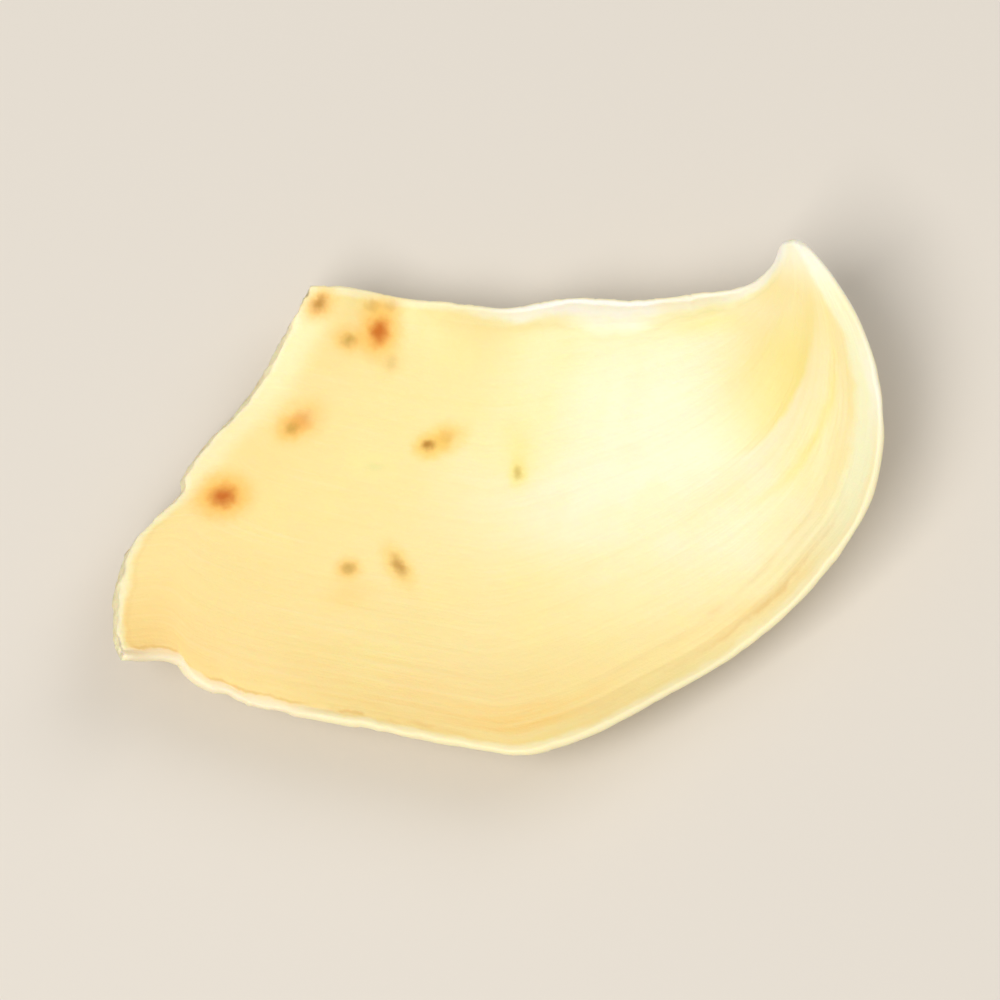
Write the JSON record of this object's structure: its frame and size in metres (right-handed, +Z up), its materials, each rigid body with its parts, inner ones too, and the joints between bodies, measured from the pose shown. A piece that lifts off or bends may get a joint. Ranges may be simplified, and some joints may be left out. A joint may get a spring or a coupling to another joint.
{
  "type": "dried lily bulb scale",
  "caption": "Thin, hard, cupped leaf of a bulb, broken off and dried: a shallow dish with a broad base, curled and waved margins, a rounded end and a pointed, upturned tip.",
  "frame": {"origin": "on the surface that the scale rests on, under the middle of its bounding box, inside the flat spot on its belly", "axes": "+X along the scale, from its broad base to its rounded end; +Y towards its upper, upright margin; +Z up, out of the hollow"},
  "size_m": [0.0386, 0.0256, 0.0096],
  "materials": {
    "dried_flesh": "satin"
  },
  "bodies": {
    "root": {"bulb_scale": "dried_flesh"}
  },
  "joints": []
}
